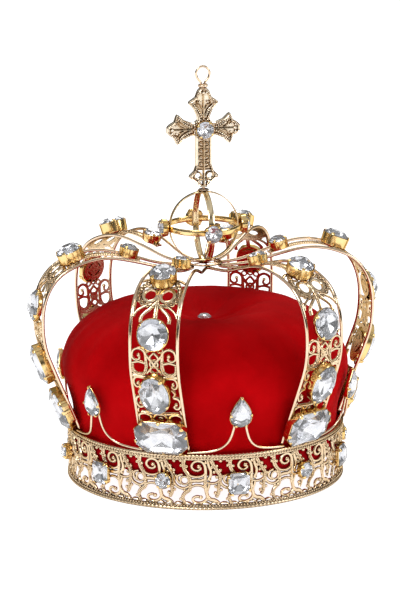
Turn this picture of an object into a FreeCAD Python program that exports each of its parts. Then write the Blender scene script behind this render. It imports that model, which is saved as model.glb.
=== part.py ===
import FreeCAD, Part
import math
import os

from FreeCAD import Vector as V

# A round costume crown in millimetres. +Z is up, the front faces -Y, and the origin is the centre
# of the band's underside. Angles go round +Z and count from the front.

# Band: a pierced ring between two rims
BAND_RADIUS = 90.0
BAND_HEIGHT = 36.8
BAND_WALL = 0.9
BOTTOM_RIM_HEIGHT = 3.8
TOP_RIM_HEIGHT = 4.0
RIM_PROUD = 1.2
RIM_LAP = 0.2
RIM_INNER_RADIUS = BAND_RADIUS - BAND_WALL - RIM_LAP
RIM_EASE = 0.6
# The band's openings repeat: share of a repeat, height from the band's middle, half height, half width
BAND_REPEATS = 19
BAND_WINDOWS = [
    (-0.17, 8.4, 4.0, 3.4),
    (0.17, -8.4, 4.0, 3.6),
    (0.27, 5.6, 3.0, 2.2),
    (-0.27, -5.6, 3.4, 2.2),
    (0.0, 0.0, 2.2, 2.0),
]

# Arches: six hairpin wires, each one rail of two neighbouring arches
ARCH_ANGLES = {"front_right": 30, "right": 90, "back_right": 150,
               "back_left": 210, "left": 270, "front_left": 330}
GAP_ANGLES = {"front": 0, "front_right": 60, "back_right": 120,
              "back": 180, "back_left": 240, "front_left": 300}
RAIL_RADIUS = 1.05
RAIL_SPREAD = 15.4
# Route of a rail: distance from the crown's axis, height, and distance from the arch's middle plane
RAIL_ROUTE = [
    (86.4, 37.5, RAIL_SPREAD),
    (103.5, 79.0, RAIL_SPREAD),
    (110.0, 97.0, RAIL_SPREAD),
    (109.8, 122.0, RAIL_SPREAD),
    (101.0, 139.5, RAIL_SPREAD),
    (84.0, 148.3, 15.0),
    (66.0, 150.8, 13.4),
    (47.0, 146.0, 10.4),
    (30.0, 140.6, 7.4),
    (17.0, 139.4, 5.0),
]
HAIRPIN_RADIUS = 8.0
HAIRPIN_HEIGHT = 139.2
# The part of the route where the rails close in
TAPER_STEPS = slice(4, 9)

# Arch filigree: a curved pierced ribbon between the rails
RIBBON_THICKNESS = 0.8
RIBBON_START = 4.0
RIBBON_END = 166.0
RIBBON_EASE = 0.1
RIBBON_HALF_WIDTH = RAIL_SPREAD - RAIL_RADIUS + RIBBON_EASE
# Windows of one side: distance along the ribbon, distance across, half length, half width
RIBBON_WINDOWS = [
    (30.0, 6.6, 2.3, 4.6),
    (35.5, 11.6, 2.0, 1.2),
    (63.5, 8.6, 3.2, 3.6),
    (72.5, 7.8, 3.4, 3.8),
    (68.0, 2.6, 2.2, 1.2),
    (101.0, 11.8, 4.6, 2.6),
    (105.0, 3.4, 2.2, 1.6),
    (112.0, 5.6, 3.6, 3.4),
    (138.0, 5.2, 3.4, 2.9),
    (148.0, 4.4, 3.4, 2.6),
    (148.0, 10.6, 9.0, 2.2),
]

# Stones: face centre (distance from the axis, height) and size (across, along)
OCTAGON_SEAT, OCTAGON_SIZE, OCTAGON_CUT = (100.6, 46.6), (34.0, 23.6), 6.0
OVAL_SEAT, OVAL_SIZE = (113.2, 77.6), (19.0, 27.4)
ROUND_SEAT, ROUND_SIZE = (116.0, 119.6), (20.0, 20.0)
TOP_SEAT, TOP_SIZE = (90.6, 156.8), (16.6, 16.6)
INNER_SEAT, INNER_SIZE = (48.8, 155.2), (11.4, 11.4)
PEAR_SEAT, PEAR_SIZE, PEAR_TILT, PEAR_DEPTH = (101.9, 65.4), (13.6, 19.6), -8.0, 5.0
SQUARE_SEAT, SQUARE_SIZE, SQUARE_CUT = (95.5, 17.4), (13.8, 13.8), 2.2
BAND_ROUND_SEAT, BAND_ROUND_SIZE = (96.5, 19.6), (10.0, 10.0)
# Corners of the round and drop outlines of the large and the small stones
LARGE_CORNERS = 16
SMALL_CORNERS = 12
PEAR_WIDEST = 0.77
CROWN_RATIO = 0.16
TABLE_SCALE = 0.62
CULET_SCALE = 0.3
GIRDLE = 0.5
COLLET_WALL = 0.5
COLLET_GAP = 0.15
BACK_GAP = 0.2
TAB_WIDTH = 2.2
TAB_RISE = 1.2
TAB_LAP = 1.0
SEAT_BITE = 0.15

# Fleurons: two wires rising from the band to each pear stone
FLEURON_WIRE_RADIUS = 0.8
# Route of the right-hand wire: angle from the fleuron, distance from the axis, height
FLEURON_ROUTE = [(20.5, 90.0, 37.6), (12.0, 90.6, 38.0), (5.5, 92.6, 42.0), (2.6, 95.6, 51.0),
                 (1.4, 96.6, 64.0)]

# Velvet cap: outline from the hem up to the tuft in the middle (distance from the axis, height)
CAP_OUTLINE = [(86.5, 22.0), (86.5, 44.0), (90.2, 58.0), (95.6, 73.0), (92.0, 89.0), (79.0, 103.0),
               (62.0, 111.5), (46.0, 113.5), (30.0, 110.0), (14.0, 103.0), (0.0, 103.0)]
CAP_THICKNESS = 2.4
HEM_INNER_RADIUS = 87.1
HEM_THICKNESS = 1.6
HEM_BOTTOM = 22.0
HEM_TOP = 35.5
BUTTON_DIAMETER = 9.0
BUTTON_FACE_HEIGHT = 106.1
BUTTON_DEPTH = 3.4

# Orb: three flat strip hoops, nested so that they cross without cutting each other
ORB_CENTRE_HEIGHT = 165.0
ORB_RADIUS = 24.4
STRIP_THICKNESS = 0.6
STRIP_WIDTH = 3.3
HOOP_STEP = 0.7
ORB_STONE_SIZE = (11.0, 11.0)
ORB_STONE_DEPTH = 6.0
WASHER_RADIUS = 3.6
WASHER_THICKNESS = 0.8
WASHER_GAP = 0.05
BASE_DISC_RADIUS = 12.0
BASE_DISC_THICKNESS = 0.9

# Cross: a flat pierced casting on a pin that turns in the orb's top
CROSS_CENTRE_HEIGHT = 229.0
CROSS_THICKNESS = 4.6
CROSS_NECK = 3.9
CROSS_CORNER = (17.2, 9.8)
CROSS_SHOULDER = (18.8, 5.4)
CROSS_LOBE = (21.6, 3.8)
CROSS_FLARE = [(8.0, 3.9), (13.4, 6.2)]
CROSS_TIP_HALF_WIDTH = 1.6
CROSS_SIDE_TIP = 24.0
CROSS_TOP_TIP = 26.8
SHAFT_HALF_WIDTH = 5.2
SHAFT_END = 24.0
SHAFT_START = 3.0
FOOT_FLARE = (28.0, 6.6)
FOOT_CORNER = (31.0, 9.7)
FOOT_SHOULDER = (35.0, 5.0)
FOOT_TIP = 38.0
FOOT_TIP_HALF_WIDTH = 2.0
BOSS_RADIUS = 7.2
# Windows come in pairs: distance across and up from the cross's centre, then width and height
ARM_WINDOW = (2.6, 16.4, 2.6, 4.6)
SHAFT_WINDOWS = [(1.8, -11.5, 1.8, 3.4), (1.8, -16.5, 1.8, 3.4), (1.8, -21.5, 1.8, 3.4)]
FOOT_WINDOW = (4.0, -30.6, 3.4, 4.4)
WINDOW_CORNERS = 10
CROSS_STONE_SIZE = (11.0, 11.0)
CROSS_STONE_DEPTH = 6.4
PIN_RADIUS = 1.0
PIN_CLEARANCE = 0.05
PIN_HEAD_RADIUS = 2.0
PIN_HEAD_HEIGHT = 1.0
PIN_HEAD_GAP = 0.2
PIN_SOCKET_DEPTH = 5.0
COLLAR_HEIGHT = 2.6
COLLAR_RADIUS = 3.5
COLLAR_HOLE_RADIUS = 1.9
COLLAR_EASE = 0.8
LOOP_WIRE_RADIUS = 0.8
# Half outline of the eye loop: distance from the pin's axis, height above the collar's foot
LOOP_HALF_ROUTE = [(1.0, 0.6), (1.2, 3.6), (4.1, 6.4), (4.4, 11.6), (0.0, 14.6)]

# Bends flatter than this, in radians, stay straight, and runs shorter than this are left out
STRAIGHT_ANGLE = 1e-4
MERGE_LENGTH = 1e-3
# Spacing of the points that follow the arch's profile, and how many of them one run of the ribbon spans
PROFILE_STEP = 0.5
RIBBON_RUN = 10
# Half length of the tools that cut windows through thin walls
CUT_DEPTH = 4.0

nodes = {}


def turned(shape, degrees):
    copy = shape.copy()
    copy.rotate(V(0, 0, 0), V(0, 0, 1), degrees)
    return copy


def ring_of(shape, angles):
    return Part.makeCompound([turned(shape, angle) for angle in angles])


def front_point(radius, height, across=0.0):
    return V(across, -radius, height)


def rounded_path(points):
    """Straight runs joined by tangent arcs that reach half-way along the shorter run."""
    edges = []
    start = points[0]
    for before, corner, after in zip(points, points[1:], points[2:]):
        back = before - corner
        ahead = after - corner
        reach = min(back.Length, ahead.Length) / 2
        half_angle = back.getAngle(ahead) / 2
        if math.pi / 2 - half_angle < STRAIGHT_ANGLE:
            continue
        middle_way = (back.normalize() + ahead.normalize()).normalize()
        arc_start = corner + back * reach
        arc_end = corner + ahead * reach
        sagitta = reach / math.cos(half_angle) - reach * math.tan(half_angle)
        if (arc_start - start).Length > MERGE_LENGTH:
            edges.append(Part.LineSegment(start, arc_start).toShape())
        else:
            arc_start = start
        edges.append(Part.Arc(arc_start, corner + middle_way * sagitta, arc_end).toShape())
        start = arc_end
    edges.append(Part.LineSegment(start, points[-1]).toShape())
    return Part.Wire(edges)


def round_wire(points, radius):
    section = Part.Wire(Part.makeCircle(radius, points[0], points[1] - points[0]))
    return rounded_path(points).makePipeShell([section], True, False)


def polygon_wire(points, height=0.0):
    corners = [V(x, y, height) for x, y in points]
    return Part.makePolygon(corners + corners[:1])


def prism(points, low, high):
    return Part.Face(polygon_wire(points, low)).extrude(V(0, 0, high - low))


def seated(shape, radius, height, tilt):
    """Stand a piece made face up at the front of the crown, its face leaning back by tilt degrees."""
    copy = shape.copy()
    copy.rotate(V(0, 0, 0), V(1, 0, 0), 90 - tilt)
    copy.translate(front_point(radius, height))
    return copy


# Stone outlines, corner by corner

def ellipse_outline(size, corners):
    turns = [2 * math.pi * (i + 0.5) / corners for i in range(corners)]
    return [(size[0] / 2 * math.cos(t), size[1] / 2 * math.sin(t)) for t in turns]


def octagon_outline(size, cut):
    x, y = size[0] / 2, size[1] / 2
    return [(x, y - cut), (x - cut, y), (cut - x, y), (-x, y - cut),
            (-x, cut - y), (cut - x, -y), (x - cut, -y), (x, cut - y)]


def pear_outline(size, corners):
    turns = [2 * math.pi * i / corners for i in range(corners)]
    half_width, half_length = size[0] / 2 / PEAR_WIDEST, size[1] / 2
    return [(-half_width * math.sin(t) * math.sin(t / 2), half_length * math.cos(t)) for t in turns]


def scaled(points, factor):
    return [(x * factor, y * factor) for x, y in points]


def stone(outline, size, depth):
    """Faceted stone with its table at z = 0 and its flat back inside the collet."""
    rise = CROWN_RATIO * min(size)
    back = depth - COLLET_WALL - BACK_GAP
    levels = [(TABLE_SCALE, 0.0), (1.0, -rise), (1.0, -rise - GIRDLE), (CULET_SCALE, -back)]
    wires = [polygon_wire(scaled(outline, factor), height) for factor, height in levels]
    return Part.makeLoft(wires, True, True)


def tab(first, second, low, high):
    """Flat tab standing on the collet's wall along one edge of the stone's outline."""
    edge = V(second[0] - first[0], second[1] - first[1], 0)
    middle = V((first[0] + second[0]) / 2, (first[1] + second[1]) / 2, low)
    width = min(TAB_WIDTH, edge.Length)
    box = Part.makeBox(width, COLLET_WALL, high - low, V(-width / 2, COLLET_GAP, 0))
    box.rotate(V(0, 0, 0), V(0, 0, 1), math.degrees(math.atan2(edge.y, edge.x)) + 180)
    box.translate(middle)
    return box


def collet(outline, size, depth):
    """Cup with a closed back and four tabs, around a stone whose table is at z = 0."""
    rim = -CROWN_RATIO * min(size) - GIRDLE
    inner = polygon_wire(outline, -depth).makeOffset2D(COLLET_GAP)
    outer = polygon_wire(outline, -depth).makeOffset2D(COLLET_GAP + COLLET_WALL)
    cup = Part.Face(outer).extrude(V(0, 0, depth + rim))
    hollow = Part.Face(inner).extrude(V(0, 0, depth))
    hollow.translate(V(0, 0, COLLET_WALL))
    cup = cup.cut(hollow)
    count = len(outline)
    tabs = [tab(outline[i], outline[(i + 1) % count], rim - TAB_LAP, rim + TAB_RISE)
            for i in range(count // 8, count, count // 4)]
    return cup.fuse(tabs).removeSplitter()


# Arch profile

def rail_point(step, side):
    radius, height, across = RAIL_ROUTE[step]
    return front_point(radius, height, side * across)


def arch_profile():
    return rounded_path([front_point(radius, height) for radius, height, _ in RAIL_ROUTE])


PROFILE_POINTS = arch_profile().discretize(Distance=PROFILE_STEP)


def profile_frame(index):
    """Point of the arch's middle line and the tilt of its outward normal, in degrees."""
    before = PROFILE_POINTS[max(index - 1, 0)]
    after = PROFILE_POINTS[min(index + 1, len(PROFILE_POINTS) - 1)]
    along = after - before
    return PROFILE_POINTS[index], math.degrees(math.atan2(along.y, along.z))


def arch_seat(face):
    """Tilt of a stone whose face centre is given, and its distance to the ribbon."""
    target = front_point(*face)
    index = min(range(len(PROFILE_POINTS)), key=lambda i: (PROFILE_POINTS[i] - target).Length)
    point, tilt = profile_frame(index)
    return tilt, (target - point).Length - RIBBON_THICKNESS / 2 + SEAT_BITE


def arch_stone_specs():
    return [
        (OCTAGON_SEAT, OCTAGON_SIZE, octagon_outline(OCTAGON_SIZE, OCTAGON_CUT)),
        (OVAL_SEAT, OVAL_SIZE, ellipse_outline(OVAL_SIZE, LARGE_CORNERS)),
        (ROUND_SEAT, ROUND_SIZE, ellipse_outline(ROUND_SIZE, LARGE_CORNERS)),
        (TOP_SEAT, TOP_SIZE, ellipse_outline(TOP_SIZE, LARGE_CORNERS)),
        (INNER_SEAT, INNER_SIZE, ellipse_outline(INNER_SIZE, SMALL_CORNERS)),
    ]


def arch_set(maker):
    """One arch's five stones, or their five collets, at the front of the crown."""
    pieces = []
    for face, size, outline in arch_stone_specs():
        tilt, depth = arch_seat(face)
        pieces.append(seated(maker(outline, size, depth), *face, tilt))
    return Part.makeCompound(pieces)


def ribbon_window(along, across, half_length, half_width):
    point, tilt = profile_frame(round(along / PROFILE_STEP))
    ellipse = ellipse_outline((2 * half_width, 2 * half_length), SMALL_CORNERS)
    window = prism([(x + across, y) for x, y in ellipse], -CUT_DEPTH / 2, CUT_DEPTH / 2)
    return seated(window, -point.y, point.z, tilt)


def arch_filigree():
    """Curved pierced ribbon of one arch, narrowing with the rails towards the middle."""
    first, last = round(RIBBON_START / PROFILE_STEP), round(RIBBON_END / PROFILE_STEP)
    points = PROFILE_POINTS[first:last + 1:RIBBON_RUN]
    start, tilt = profile_frame(first)
    half = RIBBON_THICKNESS / 2
    corners = [(-RIBBON_HALF_WIDTH, -half), (RIBBON_HALF_WIDTH, -half), (RIBBON_HALF_WIDTH, half),
               (-RIBBON_HALF_WIDTH, half)]
    section = polygon_wire(corners)
    section.rotate(V(0, 0, 0), V(1, 0, 0), -tilt)
    section.translate(start)
    path = rounded_path(points)
    ribbon = path.makePipeShell([section], True, False)
    windows = []
    for along, across, half_length, half_width in RIBBON_WINDOWS:
        for side in (-1, 1):
            windows.append(ribbon_window(along, side * across, half_length, half_width))
    taper = [(across - RAIL_RADIUS + RIBBON_EASE, -radius) for radius, _, across in RAIL_ROUTE[TAPER_STEPS]]
    taper += [(2 * RAIL_SPREAD, y) for _, y in (taper[-1], taper[0])]
    for side in (-1, 1):
        windows.append(prism([(side * x, y) for x, y in taper], ORB_CENTRE_HEIGHT / 2, ORB_CENTRE_HEIGHT))
    return ribbon.cut(windows)


def hairpin_wire():
    """One wire from the left arch's foot, round its bend under the orb, to the right arch's foot."""
    steps = range(len(RAIL_ROUTE))
    left = [rail_point(step, 1) for step in steps]
    right = [rail_point(step, -1) for step in steps]
    half_gap = 180 / len(GAP_ANGLES)
    for point_set, angle in ((left, -half_gap), (right, half_gap)):
        for i, point in enumerate(point_set):
            point_set[i] = FreeCAD.Rotation(V(0, 0, 1), angle).multVec(point)
    route = left + [front_point(HAIRPIN_RADIUS, HAIRPIN_HEIGHT)] + right[::-1]
    return round_wire(route, RAIL_RADIUS)


# Band

def ring(inner, outer, low, high):
    tube = Part.makeCylinder(outer, high - low, V(0, 0, low))
    return tube.cut(Part.makeCylinder(inner, high - low, V(0, 0, low)))


def band_window(angle, height, half_height, half_width):
    outline = ellipse_outline((2 * half_width, 2 * half_height), SMALL_CORNERS)
    window = prism(outline, -CUT_DEPTH, CUT_DEPTH)
    return turned(seated(window, BAND_RADIUS, height, 0), angle)


def band_filigree():
    """Pierced ring between the rims, with the same windows in each repeat."""
    low, high = BOTTOM_RIM_HEIGHT, BAND_HEIGHT - TOP_RIM_HEIGHT
    wall = ring(BAND_RADIUS - BAND_WALL, BAND_RADIUS, low, high)
    middle = (low + high) / 2
    pitch = 360 / BAND_REPEATS
    windows = []
    for i in range(BAND_REPEATS):
        for share, height, half_height, half_width in BAND_WINDOWS:
            windows.append(band_window((i + 0.5 + share) * pitch, middle + height, half_height, half_width))
    return wall.cut(windows)


def rim(low, high):
    """Rim with a chamfered outer face, standing proud of the band."""
    outer = BAND_RADIUS + RIM_PROUD
    section = [(RIM_INNER_RADIUS, low), (outer - RIM_EASE, low), (outer, low + RIM_EASE),
               (outer, high - RIM_EASE), (outer - RIM_EASE, high), (RIM_INNER_RADIUS, high)]
    corners = [V(x, 0, z) for x, z in section]
    return Part.Face(Part.makePolygon(corners + corners[:1])).revolve(V(0, 0, 0), V(0, 0, 1), 360)


def on_band(maker, face, size, outline):
    depth = face[0] - BAND_RADIUS + SEAT_BITE
    return seated(maker(outline, size, depth), *face, 0)


def band_set(maker):
    square = on_band(maker, SQUARE_SEAT, SQUARE_SIZE, octagon_outline(SQUARE_SIZE, SQUARE_CUT))
    small = on_band(maker, BAND_ROUND_SEAT, BAND_ROUND_SIZE, ellipse_outline(BAND_ROUND_SIZE, SMALL_CORNERS))
    return ring_of(square, GAP_ANGLES.values()), ring_of(small, ARCH_ANGLES.values())


# Fleurons

def fleuron_wires():
    wires = []
    for side in (-1, 1):
        route = []
        for angle, radius, height in FLEURON_ROUTE:
            route.append(FreeCAD.Rotation(V(0, 0, 1), side * angle).multVec(front_point(radius, height)))
        wires.append(round_wire(route, FLEURON_WIRE_RADIUS))
    return Part.makeCompound(wires)


def fleuron_set(maker):
    outline = pear_outline(PEAR_SIZE, LARGE_CORNERS)
    return seated(maker(outline, PEAR_SIZE, PEAR_DEPTH), *PEAR_SEAT, PEAR_TILT)


# Cap

def outline_offset(points, distance):
    """Outline moved inwards by a distance, measured square to each run."""
    moved = []
    for i, (x, z) in enumerate(points):
        before, after = points[max(i - 1, 0)], points[min(i + 1, len(points) - 1)]
        along = V(after[0] - before[0], 0, after[1] - before[1]).normalize()
        moved.append((max(x - along.z * distance, 0.0) if x > 0 else 0.0, z + along.x * distance))
    return moved


def cap_shell():
    """Closed velvet shell, open underneath, with its middle drawn down by the tuft."""
    outer = [V(x, 0, z) for x, z in CAP_OUTLINE]
    inner = [V(x, 0, z) for x, z in outline_offset(CAP_OUTLINE, CAP_THICKNESS)]
    outer_path, inner_path = rounded_path(outer), rounded_path(inner)
    closing = [Part.LineSegment(outer[end], inner[end]).toShape() for end in (0, -1)]
    edges = Part.sortEdges(outer_path.Edges + inner_path.Edges + closing)[0]
    return Part.Face(Part.Wire(edges)).revolve(V(0, 0, 0), V(0, 0, 1), 360)


def cap_button():
    size = (BUTTON_DIAMETER, BUTTON_DIAMETER)
    button = stone(ellipse_outline(size, SMALL_CORNERS), size, BUTTON_DEPTH)
    button.translate(V(0, 0, BUTTON_FACE_HEIGHT))
    return button


# Orb

def hoop(outer):
    return ring(outer - STRIP_THICKNESS, outer, -STRIP_WIDTH / 2, STRIP_WIDTH / 2)


def upright_hoop(outer, around):
    """Meridian hoop with a hole at its top for the cross's pin."""
    band = hoop(outer)
    band.rotate(V(0, 0, 0), around, 90)
    band.translate(V(0, 0, ORB_CENTRE_HEIGHT))
    hole = Part.makeCylinder(PIN_RADIUS + PIN_CLEARANCE, 2 * ORB_RADIUS, V(0, 0, ORB_CENTRE_HEIGHT))
    return band.cut(hole)


def orb_equator():
    band = hoop(ORB_RADIUS)
    band.translate(V(0, 0, ORB_CENTRE_HEIGHT))
    return band


def orb_set(maker):
    """Four stones or collets at the crossings of the orb's hoops."""
    face = ORB_RADIUS + ORB_STONE_DEPTH - SEAT_BITE
    outline = ellipse_outline(ORB_STONE_SIZE, SMALL_CORNERS)
    front = seated(maker(outline, ORB_STONE_SIZE, ORB_STONE_DEPTH), face, ORB_CENTRE_HEIGHT, 0)
    return ring_of(front, (0, 90, 180, 270))


def orb_base_disc():
    """Disc between the hairpin bends and the lowest point of the hoops."""
    top = ORB_CENTRE_HEIGHT - ORB_RADIUS + HOOP_STEP
    return Part.makeCylinder(BASE_DISC_RADIUS, BASE_DISC_THICKNESS, V(0, 0, top - BASE_DISC_THICKNESS))


def orb_washer():
    low = ORB_CENTRE_HEIGHT + ORB_RADIUS - HOOP_STEP + WASHER_GAP
    return ring(PIN_RADIUS + PIN_CLEARANCE, WASHER_RADIUS, low, low + WASHER_THICKNESS)


# Cross

def arm_outline(tip):
    """Right-hand side of one arm pointing along +Y, from its neck to its tip."""
    corner_y, corner_x = CROSS_CORNER
    shoulder_y, shoulder_x = CROSS_SHOULDER
    lobe_y, lobe_x = CROSS_LOBE
    stretch = tip - CROSS_SIDE_TIP
    flare = [(x, y) for y, x in CROSS_FLARE]
    return [(CROSS_NECK, CROSS_NECK)] + flare + [
        (corner_x, corner_y), (shoulder_x, shoulder_y + stretch / 2), (lobe_x, lobe_y + stretch),
        (CROSS_TIP_HALF_WIDTH, tip)]


def flat_arm(side):
    points = side + [(-x, y) for x, y in reversed(side)]
    return prism(points, -CROSS_THICKNESS / 2, CROSS_THICKNESS / 2)


def cross_foot_arm():
    side = [(SHAFT_HALF_WIDTH, SHAFT_START), (SHAFT_HALF_WIDTH, SHAFT_END), FOOT_FLARE[::-1], FOOT_CORNER[::-1],
            FOOT_SHOULDER[::-1], (FOOT_TIP_HALF_WIDTH, FOOT_TIP)]
    return turned(flat_arm(side), 180)


def window_pair(across, up, width, height):
    outline = ellipse_outline((width, height), WINDOW_CORNERS)
    return [prism([(x + side * across, y + up) for x, y in outline], -CUT_DEPTH, CUT_DEPTH) for side in (-1, 1)]


def cross_windows():
    """Oval windows in the arms, the shaft and the foot."""
    windows = [turned(oval, turn) for turn in (0, 90, 270) for oval in window_pair(*ARM_WINDOW)]
    for place in SHAFT_WINDOWS + [FOOT_WINDOW]:
        windows += window_pair(*place)
    return windows


def on_cross(shape, proud=0.0):
    """Stand a piece made face up on the cross's front face."""
    copy = shape.copy()
    copy.rotate(V(0, 0, 0), V(1, 0, 0), 90)
    copy.translate(V(0, -proud, CROSS_CENTRE_HEIGHT))
    return copy


def pin_bottom():
    """Underside of the pin's shank, against the lowest hoop."""
    return ORB_CENTRE_HEIGHT + ORB_RADIUS - 2 * HOOP_STEP - STRIP_THICKNESS - PIN_HEAD_GAP


def pin_top():
    return CROSS_CENTRE_HEIGHT - FOOT_TIP + PIN_SOCKET_DEPTH


def cross_body():
    arms = [turned(flat_arm(arm_outline(tip)), turn)
            for tip, turn in ((CROSS_TOP_TIP, 0), (CROSS_SIDE_TIP, 90), (CROSS_SIDE_TIP, 270))]
    boss = Part.makeCylinder(BOSS_RADIUS, CROSS_THICKNESS, V(0, 0, -CROSS_THICKNESS / 2))
    body = cross_foot_arm().fuse(arms + [boss]).cut(cross_windows())
    socket = Part.makeCylinder(PIN_RADIUS, 2 * PIN_SOCKET_DEPTH, V(0, 0, pin_top() - 2 * PIN_SOCKET_DEPTH))
    return on_cross(body).cut(socket)


def cross_set(maker):
    face = CROSS_THICKNESS / 2 + CROSS_STONE_DEPTH - SEAT_BITE
    outline = ellipse_outline(CROSS_STONE_SIZE, SMALL_CORNERS)
    return on_cross(maker(outline, CROSS_STONE_SIZE, CROSS_STONE_DEPTH), face)


def cross_pin():
    low = pin_bottom()
    shank = Part.makeCylinder(PIN_RADIUS, pin_top() - low, V(0, 0, low))
    head = Part.makeCylinder(PIN_HEAD_RADIUS, PIN_HEAD_HEIGHT, V(0, 0, low - PIN_HEAD_HEIGHT))
    return shank.fuse(head)


def collar_foot():
    return CROSS_CENTRE_HEIGHT + CROSS_TOP_TIP


def cross_collar():
    """Wrapped knot between the cross and its eye loop, with a hole for the loop's two legs."""
    half = COLLAR_HEIGHT / 2
    eased = COLLAR_RADIUS - COLLAR_EASE
    section = [(COLLAR_HOLE_RADIUS, -half), (eased, -half), (COLLAR_RADIUS, 0), (eased, half),
               (COLLAR_HOLE_RADIUS, half)]
    corners = [V(x, 0, z + collar_foot() + half) for x, z in section]
    return Part.Face(Part.makePolygon(corners + corners[:1])).revolve(V(0, 0, 0), V(0, 0, 1), 360)


def eye_loop():
    left = [V(-x, 0, z + collar_foot()) for x, z in LOOP_HALF_ROUTE[:-1]]
    top = [V(0, 0, LOOP_HALF_ROUTE[-1][1] + collar_foot())]
    right = [V(-point.x, 0, point.z) for point in reversed(left)]
    return round_wire(left + top + right, LOOP_WIRE_RADIUS)


def build():
    filigree, collets, stones = arch_filigree(), arch_set(collet), arch_set(stone)
    for name, angle in ARCH_ANGLES.items():
        nodes["arch_filigree_" + name] = turned(filigree, angle)
        nodes["arch_collets_" + name] = turned(collets, angle)
        nodes["arch_stones_" + name] = turned(stones, angle)
    wire = hairpin_wire()
    for name, angle in GAP_ANGLES.items():
        nodes["arch_wire_" + name] = turned(wire, angle)
    nodes["band_filigree"] = band_filigree()
    nodes["band_bottom_rim"] = rim(0, BOTTOM_RIM_HEIGHT)
    nodes["band_top_rim"] = rim(BAND_HEIGHT - TOP_RIM_HEIGHT, BAND_HEIGHT)
    nodes["band_square_collets"], nodes["band_round_collets"] = band_set(collet)
    nodes["band_square_stones"], nodes["band_round_stones"] = band_set(stone)
    nodes["fleuron_wires"] = ring_of(fleuron_wires(), GAP_ANGLES.values())
    nodes["fleuron_collets"] = ring_of(fleuron_set(collet), GAP_ANGLES.values())
    nodes["fleuron_stones"] = ring_of(fleuron_set(stone), GAP_ANGLES.values())
    nodes["velvet_cap"] = cap_shell()
    nodes["cap_headband"] = ring(HEM_INNER_RADIUS, HEM_INNER_RADIUS + HEM_THICKNESS, HEM_BOTTOM, HEM_TOP)
    nodes["cap_button"] = cap_button()
    nodes["orb_equator_hoop"] = orb_equator()
    nodes["orb_front_back_hoop"] = upright_hoop(ORB_RADIUS - HOOP_STEP, V(0, 1, 0))
    nodes["orb_left_right_hoop"] = upright_hoop(ORB_RADIUS - 2 * HOOP_STEP, V(1, 0, 0))
    nodes["orb_collets"] = orb_set(collet)
    nodes["orb_stones"] = orb_set(stone)
    nodes["orb_top_washer"] = orb_washer()
    nodes["orb_base_disc"] = orb_base_disc()
    nodes["cross_body"] = cross_body()
    nodes["cross_collet"] = cross_set(collet)
    nodes["cross_stone"] = cross_set(stone)
    nodes["cross_pin"] = cross_pin()
    nodes["cross_collar"] = cross_collar()
    nodes["cross_eye_loop"] = eye_loop()


build()
os.makedirs("parts", exist_ok=True)
for name, shape in nodes.items():
    shape.exportStep("parts/" + name + ".step")
    print(name, len(shape.Solids), shape.isValid(), round(shape.Volume, 1))
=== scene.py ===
import math

import bmesh
import bpy
import numpy as np
from mathutils import Matrix, Vector


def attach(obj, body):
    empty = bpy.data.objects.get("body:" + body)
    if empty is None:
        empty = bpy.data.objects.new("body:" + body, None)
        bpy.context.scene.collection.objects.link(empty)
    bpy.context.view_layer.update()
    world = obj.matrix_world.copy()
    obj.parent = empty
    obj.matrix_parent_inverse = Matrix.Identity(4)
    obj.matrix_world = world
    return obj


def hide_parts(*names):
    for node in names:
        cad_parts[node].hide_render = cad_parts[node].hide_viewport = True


# The looks of a round costume crown. Lengths below are millimetres in the CAD frame: +Z up, the
# front faces -Y, angles count from the front round +Z. Meshes are scaled to metres when made.
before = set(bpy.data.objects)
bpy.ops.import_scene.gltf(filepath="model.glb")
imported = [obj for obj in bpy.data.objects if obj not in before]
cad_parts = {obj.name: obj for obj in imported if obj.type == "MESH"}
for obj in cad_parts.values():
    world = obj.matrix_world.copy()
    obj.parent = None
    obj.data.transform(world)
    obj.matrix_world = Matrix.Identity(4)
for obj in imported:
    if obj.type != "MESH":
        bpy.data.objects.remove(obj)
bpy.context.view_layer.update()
MM = 0.001

BAND_RADIUS = 90.0
BAND_HEIGHT = 36.8
BOTTOM_RIM_HEIGHT = 3.8
TOP_RIM_HEIGHT = 4.0
BAND_REPEATS = 19
BAND_WALL = 0.9

ARCH_ANGLES = {"front_right": 30, "right": 90, "back_right": 150,
               "back_left": 210, "left": 270, "front_left": 330}
GAP_ANGLES = {"front": 0, "front_right": 60, "back_right": 120,
              "back": 180, "back_left": 240, "front_left": 300}
RAIL_RADIUS = 1.05
RAIL_SPREAD = 15.4
# Route of a rail: distance from the crown's axis, height, distance from the arch's middle plane
RAIL_ROUTE = [
    (86.4, 37.5, RAIL_SPREAD),
    (103.5, 79.0, RAIL_SPREAD),
    (110.0, 97.0, RAIL_SPREAD),
    (109.8, 122.0, RAIL_SPREAD),
    (101.0, 139.5, RAIL_SPREAD),
    (84.0, 148.3, 15.0),
    (66.0, 150.8, 13.4),
    (47.0, 146.0, 10.4),
    (30.0, 140.6, 7.4),
    (17.0, 139.4, 5.0),
]
RIBBON_HALF = 0.4
SEAT_BITE = 0.15
CROWN_RATIO = 0.16
GIRDLE = 0.5

ORB_CENTRE = 165.0
ORB_RADIUS = 24.4
HOOP_STEP = 0.7
# The CAD's strips are 3.3 wide. This width is the photograph's
STRIP_WIDTH = 4.0
STRIP_THICKNESS = 0.6
CROSS_CENTRE = 229.0
CROSS_THICKNESS = 4.6


# Mesh tools

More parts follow.
